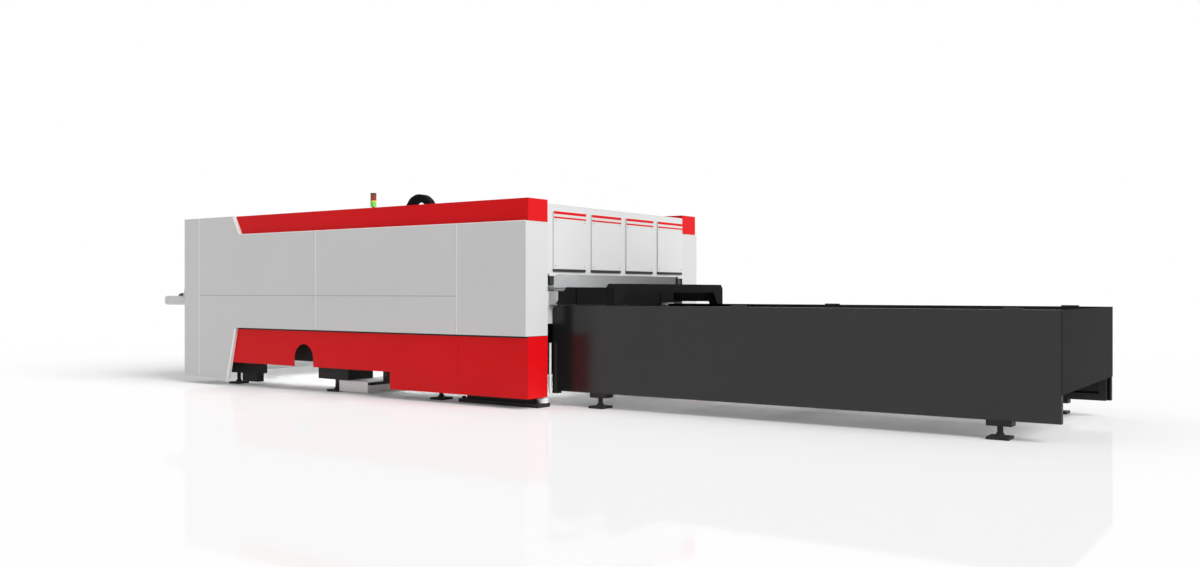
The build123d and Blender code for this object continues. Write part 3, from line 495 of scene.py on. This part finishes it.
def displayLook():
    # cutting preview: rows of nested blanks, drawn by a brick pattern, on a dark field
    look, tree, shader = newLook("displayPicture")
    coords = addNode(tree, "ShaderNodeTexCoord")
    place = addNode(tree, "ShaderNodeMapping", Vector=coords.outputs["Object"],
                    Rotation=(math.radians(90), 0, math.radians(-90)))
    blanks = addNode(tree, "ShaderNodeTexBrick", Vector=place.outputs[0], Scale=9.0, Bias=-0.4,
                     Color1=(0.010, 0.030, 0.050, 1), Color2=(0.012, 0.055, 0.075, 1),
                     Mortar=(0.10, 0.34, 0.42, 1), Mortar_Size=0.02)
    wire(tree, blanks.outputs["Color"], shader.inputs["Emission Color"])
    field = mixColour(tree, blanks.outputs["Fac"], (0.008, 0.010, 0.014), (0.012, 0.016, 0.020))
    wire(tree, field, shader.inputs["Base Color"])
    shader.inputs["Emission Strength"].default_value = 0.8
    shader.inputs["Roughness"].default_value = 0.12
    return look


# one finish for each of the record's slots
looks = {
    "grey_paint": paintLook("greyPaint", grey(0.62), grey(0.605), (0.50, 0.49, 0.475), 0.42, 0.12, 0.18),
    "white_paint": paintLook("palePaint", grey(0.65), grey(0.635), (0.52, 0.51, 0.50), 0.42, 0.1, 0.15),
    "red_paint": paintLook("redPaint", (0.68, 0.004, 0.007), (0.645, 0.0035, 0.006), (0.45, 0.05, 0.05), 0.42,
                           0.18, 0.10, gloss=0.12),
    "black_gloss": paintLook("blackGloss", (0.012, 0.012, 0.0125), grey(0.016), (0.04, 0.038, 0.036), 0.20,
                             0.20, 0.25, peel=0.05, gloss=0.42, spread=0.04, endMatt=0.5),
    "black_paint": paintLook("blackPaint", grey(0.014), grey(0.02), (0.06, 0.057, 0.054), 0.50, 0.30, 0.3,
                             gloss=0.2),
    "ground_steel": metalLook("groundSteel", grey(0.62), grey(0.50), 0.18, (3.0, 160.0, 160.0)),
    "slat_steel": metalLook("slatSteel", (0.40, 0.385, 0.37), (0.20, 0.185, 0.17), 0.36, (60.0, 3.0, 22.0),
                            metallic=0.85),
    "cast_aluminium": metalLook("castAluminium", (0.68, 0.68, 0.69), (0.58, 0.58, 0.59), 0.30,
                                (14.0, 14.0, 70.0)),
    "black_plastic": plasticLook("blackPlastic", grey(0.016), grey(0.022), 0.46),
    "button_red": plasticLook("redKnob", (0.62, 0.015, 0.015), (0.55, 0.012, 0.012), 0.30, 500, 0.1),
    "button_green": plasticLook("greenKnob", (0.02, 0.36, 0.09), (0.016, 0.30, 0.075), 0.30, 500, 0.1),
    "button_amber": plasticLook("amberKnob", (0.78, 0.42, 0.02), (0.70, 0.37, 0.018), 0.30, 500, 0.1),
    "lens_green": plasticLook("greenLens", (0.24, 0.74, 0.08), (0.21, 0.66, 0.07), 0.22, 300, 0.05),
    "lens_amber": plasticLook("amberLens", (0.66, 0.72, 0.12), (0.60, 0.65, 0.10), 0.22, 300, 0.05),
    "lens_red": plasticLook("redLens", (0.29, 0.035, 0.014), (0.25, 0.030, 0.012), 0.22, 300, 0.05),
    "screen_glass": plasticLook("screenGlass", (0.010, 0.013, 0.018), (0.014, 0.018, 0.024), 0.12, 300, 0.02),
    "window_glass": plasticLook("windowGlass", (0.10, 0.22, 0.07), (0.09, 0.20, 0.065), 0.10, 300, 0.02),
}
# white paint for the drawer, jacks and conduits, also used for the painted highlight strips on panel edges and
# seams
whitePartsAndHighlightsLook = paintLook("whitePartsAndPaintedHighlights", grey(0.95), grey(0.93), (0.7, 0.69, 0.68), 0.40, 0.1, 0.1)
endLook = paintLook("blackEndSheet", (0.007, 0.007, 0.0075), grey(0.010), (0.03, 0.028, 0.026), 0.70, 0.2, 0.2,
                    gloss=0.055)
copperLook = metalLook("copperNozzle", (0.62, 0.30, 0.17), (0.46, 0.21, 0.12), 0.28, (40.0, 40.0, 6.0))
zincLook = metalLook("zincBolt", (0.52, 0.52, 0.50), (0.40, 0.40, 0.38), 0.34, (30.0, 30.0, 30.0))
# black rubber for the window seals, also the painted shade strips under the rear covers
rubberAndShadeLook = plasticLook("sealRubberAndPaintedShade", grey(0.012), grey(0.018), 0.62, 700, 0.3)

# CAD nodes whose finish differs from their slot's
ownLooks = {"table_end_plate": endLook, "bridge_portal": endLook, "light_baffle": endLook,
            "cable_chain": endLook, "scrap_drawer": whitePartsAndHighlightsLook, "monitor_screen": displayLook()}
for part in frame["record"]["subparts"]:
    shown = nodes[part["node"]]
    shown.data.materials.clear()
    shown.data.materials.append(ownLooks.get(part["node"], looks[part["material_slot"]]))

bothSides = np.array([-1, 1])  # near and far

# black strips along the lower edge of the four rear covers, painted shade standing in for the shadow under
# them, and a screw near each corner
coverTrim = {"count": 4, "pitch": 0.637, "width": 0.535, "stripHeight": 0.026, "stripDepth": 0.016,
             "screw": 0.009, "dome": 0.45, "inset": 0.03, "topInset": 0.09}


def makeCoverTrim():
    low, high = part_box("rear_covers")
    width, height, depth = coverTrim["width"], coverTrim["stripHeight"], coverTrim["stripDepth"]
    centres = (low.y + high.y) / 2 + evenly(coverTrim["count"], coverTrim["pitch"])
    # painted shade: a black strip under each cover's lower edge
    strip = turned(roundedBar(width, height / 2, depth / 2), "y")
    places = gridOf(low.x + depth / 2, centres - width / 2, low.z - height / 2)
    addPiece("coverShadeStrips", copies(strip, places), rubberAndShadeLook, "machine", smooth=40)
    screw = turned(panScrew(coverTrim["screw"], coverTrim["screw"] * coverTrim["dome"]), "x")
    sides = centres[:, None] + bothSides * (width / 2 - coverTrim["inset"])
    levels = np.array([low.z + coverTrim["inset"], high.z - coverTrim["topInset"]])
    places = gridOf(high.x, sides.reshape(-1, 1), levels)
    addPiece("coverScrews", copies(screw, places), zincLook, "machine", smooth=40)


makeCoverTrim()
print("cover trim made")

# light strips under the roof, over the cutting field
workLight = {"y": 0.62, "length": 3.2, "start": -4.2, "halfWidth": 0.03, "halfHeight": 0.014,
             "colour": (0.97, 0.99, 1.0), "strength": 50.0}


def makeWorkLights():
    bar = roundedBar(workLight["length"], workLight["halfWidth"], workLight["halfHeight"], power=4)
    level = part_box("roof")[0].z - workLight["halfHeight"]
    places = gridOf(workLight["start"], bothSides * workLight["y"], level)
    look = glowLook("frostedLight", workLight["colour"], workLight["strength"])
    addPiece("chamberLights", copies(turned(bar, "x"), places), look, "machine", smooth=40)


makeWorkLights()
print("chamber lights made")

# hex bolts through the bed's base plates
boltPlan = {"across": 0.036, "height": 0.020, "washer": 0.02349, "reach": 0.94, "inset": 0.035, "plate": 0.040}


def makeBolts():
    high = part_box("bed_feet")[1]
    x = high.x - boltPlan["inset"] - np.array([[0], [boltPlan["reach"]]])
    places = gridOf(x, bothSides * (high.y - boltPlan["inset"]), boltPlan["plate"])
    bolt = hexBolt(boltPlan["across"], boltPlan["height"], boltPlan["washer"])
    addPiece("anchorBolts", copies(bolt, places), looks["black_paint"], "machine", smooth=30)


# a round jack on the rear end of each base plate, as radius and height pairs
jackPlan = {"profile": ((0.060, 0.040), (0.060, 0.054), (0.050, 0.057), (0.050, 0.062), (0.062, 0.065),
                        (0.062, 0.082), (0.030, 0.084), (0.030, 0.0895)),
            "fromRear": 0.075, "y": 1.262, "sides": 32}


def makeJacks():
    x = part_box("rear_wall")[1].x - jackPlan["fromRear"]
    jack = lathe(jackPlan["profile"], jackPlan["sides"])
    places = gridOf(x, bothSides * jackPlan["y"], 0)
    addPiece("cornerJacks", copies(jack, places), whitePartsAndHighlightsLook, "machine", smooth=35)


# a conduit down each beam's end
conduitPlan = {"low": 0.115, "ribTop": 0.235, "top": 0.612, "radius": 0.0125, "rib": 0.0175, "pitch": 0.020,
               "steps": 49, "sides": 20, "fromRear": 0.0975, "y": 1.110}


def makeConduits():
    # straight tube whose lower end is ribbed: r = rib + (radius - rib) * (0.5 + 0.5 cos(2 pi z / pitch))
    radius, rib = conduitPlan["radius"], conduitPlan["rib"]
    z = np.linspace(conduitPlan["low"], conduitPlan["ribTop"], conduitPlan["steps"])
    wave = 0.5 + 0.5 * np.cos(2 * np.pi * (z - conduitPlan["low"]) / conduitPlan["pitch"])
    profile = np.stack([np.append(rib + (radius - rib) * wave, radius), np.append(z, conduitPlan["top"])], -1)
    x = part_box("rear_wall")[1].x - conduitPlan["fromRear"]
    tube = lathe(profile, conduitPlan["sides"])
    places = gridOf(x, bothSides * conduitPlan["y"], 0)
    addPiece("beamConduits", copies(tube, places), whitePartsAndHighlightsLook, "machine", smooth=50)


makeBolts()
makeJacks()
makeConduits()
print("bolts, jacks and conduits made")

# pale sheets over the ends and inner sides of the bed's beams, brackets over the opening's sensors
fillerPlan = {"fromRear": 0.110, "bottom": 0.80, "top": 1.118, "outer": 1.262, "inner": 0.985, "thick": 0.010,
              "side": 1.120, "sideLow": 0.985, "sideThick": 0.006, "sideReach": 0.009}
bracketPlan = {"outer": 1.262, "reach": 0.105, "below": 0.0168, "above": 0.0112, "depth": 0.016}


def makeRearTrim():
    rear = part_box("rear_wall")[1].x
    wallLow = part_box("rear_wall")[0].z
    beamEnd = rear - fillerPlan["fromRear"]
    top, side, outer = fillerPlan["top"], fillerPlan["side"], bracketPlan["outer"]
    sheets, brackets = [], []
    for way in bothSides:
        sheets.append(sidePlate(way, (beamEnd, beamEnd + fillerPlan["thick"]),
                                (fillerPlan["outer"], fillerPlan["inner"]), (fillerPlan["bottom"], top)))
        sheets.append(sidePlate(way, (beamEnd, rear + fillerPlan["sideReach"]),
                                (side, side + fillerPlan["sideThick"]), (fillerPlan["sideLow"], top)))
        brackets.append(sidePlate(way, (rear, rear + bracketPlan["depth"]),
                                  (outer, outer - bracketPlan["reach"]),
                                  (wallLow - bracketPlan["below"], wallLow + bracketPlan["above"])))
    addPiece("beamEndSheets", joined(sheets), looks["grey_paint"], "machine", smooth=30)
    addPiece("sensorBrackets", joined(brackets), looks["white_paint"], "machine", smooth=30)


makeRearTrim()
print("rear trim made")

# painted highlights, white strips standing in for light caught on edges: X from the front and Z, where the
# panels end at band and skirt, under the band, and at the seams
highlightPlan = {"stand": 0.0015, "base": 0.0004, "root": 0.001, "along": 12, "over": 5, "topGap": 0.002,
              "width": 0.022, "thin": 0.006, "seamWidth": 0.005,
              "band": ((0.970, 2.000), (1.090, 1.785)), "skirt": ((1.008, 0.683), (0.861, 0.092)),
              "line": (1.095, 1.783),
              "seams": ((0.293, 1.995, 0.100), (2.413, 1.778, 0.700), (4.499, 1.778, 0.700))}


def edgeStrip(start, end, across, face):
    # closed white strip, a painted highlight seated in the panel: along it u, over it v, height sin(pi v),
    # then back under the surface
    u = np.linspace(0, 1, highlightPlan["along"])[:, None]
    over = np.linspace(0, 1, highlightPlan["over"])
    v = np.append(over, [1, 0])
    lift = highlightPlan["stand"] * np.sin(np.pi * over) + highlightPlan["base"]
    lift = np.append(lift, [-highlightPlan["root"]] * 2)
    runX, runZ = end[0] - start[0], end[1] - start[1]
    rings = gridOf(start[0] + runX * u + across[0] * v, face + np.sign(face) * lift,
                   start[1] + runZ * u + across[1] * v)
    outward = np.sign(face) * (runX * across[1] - runZ * across[0]) > 0
    return ringStack(rings if outward else rings[:, ::-1])


def makeReveals():
    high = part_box("front_upper_panels")[1]
    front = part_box("front_caps")[0].x
    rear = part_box("rear_wall")[1].x
    strips = {}
    for key in ("band", "skirt"):
        (x0, z0), (x1, z1) = highlightPlan[key]
        top = (front + x0, z0 - highlightPlan["topGap"])
        strips[key + "Reveal", ""] = (top, (front + x1, z1), (-highlightPlan["width"], 0))
    thin = highlightPlan["thin"]
    x, z = front + highlightPlan["line"][0], highlightPlan["line"][1] - thin / 2
    strips["bandLine", ""] = ((x, z), (rear, z), (0, thin))
    for number, (x, top, bottom) in enumerate(highlightPlan["seams"]):
        ends = ((front + x, top), (front + x, bottom))
        strips["seamEdge", str(number)] = (*ends, (highlightPlan["seamWidth"], 0))
    for way, side in zip(bothSides, ("Near", "Far")):
        for (name, number), lines in strips.items():
            # each strip gets the white finish as a painted highlight on the grey panel
            shape = edgeStrip(*lines, way * high.y)
            addPiece(name + side + number, shape, whitePartsAndHighlightsLook, "machine", smooth=60)


makeReveals()
print("reveal edges made")

# strips that close the slot under the panels' top flanges along the roof, and the front ends of the red bands
roofTrim = {"thick": 0.004, "flange": 0.003, "reach": 0.968, "bandStart": 0.974, "bandInner": 1.281,
            "ease": 0.001}


def makeRoofTrim():
    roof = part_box("roof")[1]
    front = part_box("front_caps")[0].x
    thick, ease = roofTrim["thick"], roofTrim["ease"]
    z = (roof.z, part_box("front_upper_panels")[1].z - roofTrim["flange"])
    bandX = front + roofTrim["bandStart"]
    strips, ends = [], []
    for way in bothSides:
        strips.append(sidePlate(way, (front + thick, front + roofTrim["reach"]),
                                (roof.y - thick / 2, roof.y + thick / 2), z, ease))
        ends.append(sidePlate(way, (bandX, bandX + thick), (roofTrim["bandInner"], roof.y), z, ease))
    addPiece("roofEdgeStrips", joined(strips), looks["grey_paint"], "machine", smooth=30)
    addPiece("bandEndStrips", joined(ends), looks["red_paint"], "machine", smooth=30)


makeRoofTrim()
print("roof trim made")

# black plate on the far side, between the enclosure and the portal
darkPlatePlan = {"y": 1.03, "thick": 0.006, "bottom": 1.006, "top": 1.15, "lap": 0.004, "ease": 0.002}


def makeGuard():
    x = (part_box("light_baffle")[1].x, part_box("bridge_portal")[0].x + darkPlatePlan["lap"])
    y = (darkPlatePlan["y"], darkPlatePlan["y"] + darkPlatePlan["thick"])
    shape = sidePlate(1, x, y, (darkPlatePlan["bottom"], darkPlatePlan["top"]), darkPlatePlan["ease"])
    addPiece("farDarkPlate", shape, endLook, "machine", smooth=30)


makeGuard()
print("far guard made")

# key caps on the console keyboard; the profile pairs each ring's share of the width and of the height
keyPlan = {"rows": 5, "columns": 15, "pitch": 0.0242, "half": 0.0102, "rise": 0.007, "power": 5, "corners": 12,
           "profile": ((1.0, 0), (1.0, 0.35), (0.86, 0.9), (0.80, 1.0))}


def makeKeys():
    low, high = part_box("keyboard")
    share, level = np.array(keyPlan["profile"]).T[:, :, None]
    a, b = superRing(keyPlan["half"], keyPlan["half"], keyPlan["power"], keyPlan["corners"])
    cap = ringStack(gridOf(share * a, share * b, level * keyPlan["rise"]))
    x = (low.x + high.x) / 2 + evenly(keyPlan["rows"], keyPlan["pitch"])
    y = (low.y + high.y) / 2 + evenly(keyPlan["columns"], keyPlan["pitch"])
    look = plasticLook("keyCap", (0.030, 0.030, 0.032), (0.038, 0.038, 0.040), 0.40, 900, 0.2)
    caps = copies(cap, gridOf(x[:, None], y, high.z))
    addPiece("keyCaps", caps, look, "machine", smooth=40)


makeKeys()
print("keys made")

# rubber seals round the door windows
sealPlan = {"corner": 0.030, "width": 0.022, "inset": 0.0055, "stand": 0.010, "sink": 0.002, "cornerSteps": 7,
            "sides": 12}


def makeSeal(name, node, body, leaf):
    # tube whose section is an ellipse, carried round a rectangle with quarter-circle corners
    low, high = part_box(node)
    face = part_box(leaf)[0].x
    radius, steps = sealPlan["corner"], sealPlan["cornerSteps"]
    halfY, halfZ = (high.y - low.y) / 2 - radius, (high.z - low.z) / 2 - radius
    quarter = np.linspace(0, np.pi / 2, steps)
    around = np.concatenate([quarter + k * np.pi / 2 for k in range(4)])[:, None]
    cornerY = np.repeat([halfY, -halfY, -halfY, halfY], steps)[:, None]
    cornerZ = np.repeat([halfZ, halfZ, -halfZ, -halfZ], steps)[:, None]
    v = roundAngles(sealPlan["sides"])
    out = radius + sealPlan["width"] / 2 * np.cos(v) - sealPlan["inset"]
    y = (low.y + high.y) / 2 + cornerY + out * np.cos(around)
    z = (low.z + high.z) / 2 + cornerZ + out * np.sin(around)
    points = gridOf(face + sealPlan["sink"] - sealPlan["stand"] * np.sin(v), y, z)
    piece = meshFromGrid(name, points[:, ::-1], wrapU=True, wrapV=True)
    dress(piece, rubberAndShadeLook, body, smooth=60)


makeSeal("nearWindowSeal", "near_door_window", "near_door", "near_door_leaf")
makeSeal("farWindowSeal", "far_door_window", "far_door", "far_door_leaf")
print("window seals made")

# toothed racks beside the bed rails, which the gantry's pinions run on
rackPlan = {"pitch": 0.0126, "tooth": 0.006, "low": 0.018, "gap": 0.012, "thick": 0.022,
            "corners": (0.0, 0.22, 0.5, 0.72), "wave": (1.0, 0.0, 0.0, 1.0)}


def makeRacks():
    # height over length is a trapezoid wave: down, flat, up, flat in each pitch
    low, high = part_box("bed_rails")
    count = int((high.x - low.x) / rackPlan["pitch"])
    x = low.x + (np.arange(count)[:, None] + rackPlan["corners"]).ravel() * rackPlan["pitch"]
    top = low.z + rackPlan["low"] + rackPlan["tooth"] * np.tile(rackPlan["wave"], count)
    foot = np.full_like(top, low.z)
    z = np.stack([top, top, foot, foot], -1)
    inner = high.y + rackPlan["gap"]
    outer = inner + rackPlan["thick"]
    shapes = []
    for way in bothSides:
        rings = gridOf(x[:, None], np.array([inner, outer, outer, inner]) * way, z)
        shapes.append(ringStack(rings if way < 0 else rings[:, ::-1]))
    addPiece("gantryRacks", joined(shapes), looks["ground_steel"], "machine")


makeRacks()
print("racks made")

# copper nozzle under the cutting head, as radius and height pairs from its tip up
nozzlePlan = {"profile": ((0.0015, -0.022), (0.003, -0.022), (0.006, -0.020), (0.013, -0.009),
                          (0.016, -0.006), (0.016, 0.0)), "sides": 28}


def makeNozzle():
    low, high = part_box("cutting_head")
    place = ((low.x + high.x) / 2, (low.y + high.y) / 2, low.z)
    tip = lathe(nozzlePlan["profile"], nozzlePlan["sides"])
    addPiece("nozzle", copies(tip, [place]), copperLook, "head", smooth=35)


makeNozzle()
print("nozzle made")

# link pins on both sides of the roof cable chain, along a half circle
chainPlan = {"band": 0.035, "pins": 13, "pin": 0.013, "rise": 0.004, "sides": 14}


def makeChainPins():
    low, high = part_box("cable_chain")
    outer = (high.x - low.x) / 2
    radius = outer - chainPlan["band"]
    t = np.linspace(0, np.pi, chainPlan["pins"])
    x = (low.x + high.x) / 2 + radius * np.cos(t)
    z = high.z - outer + radius * np.sin(t)
    pin = panScrew(chainPlan["pin"], chainPlan["rise"], chainPlan["sides"])
    for name, axis, y in (("chainPinsNear", "-y", low.y), ("chainPinsFar", "y", high.y)):
        pins = copies(turned(pin, axis), gridOf(x, y, z))
        addPiece(name, pins, endLook, "machine", smooth=40)


makeChainPins()
print("chain pins made")
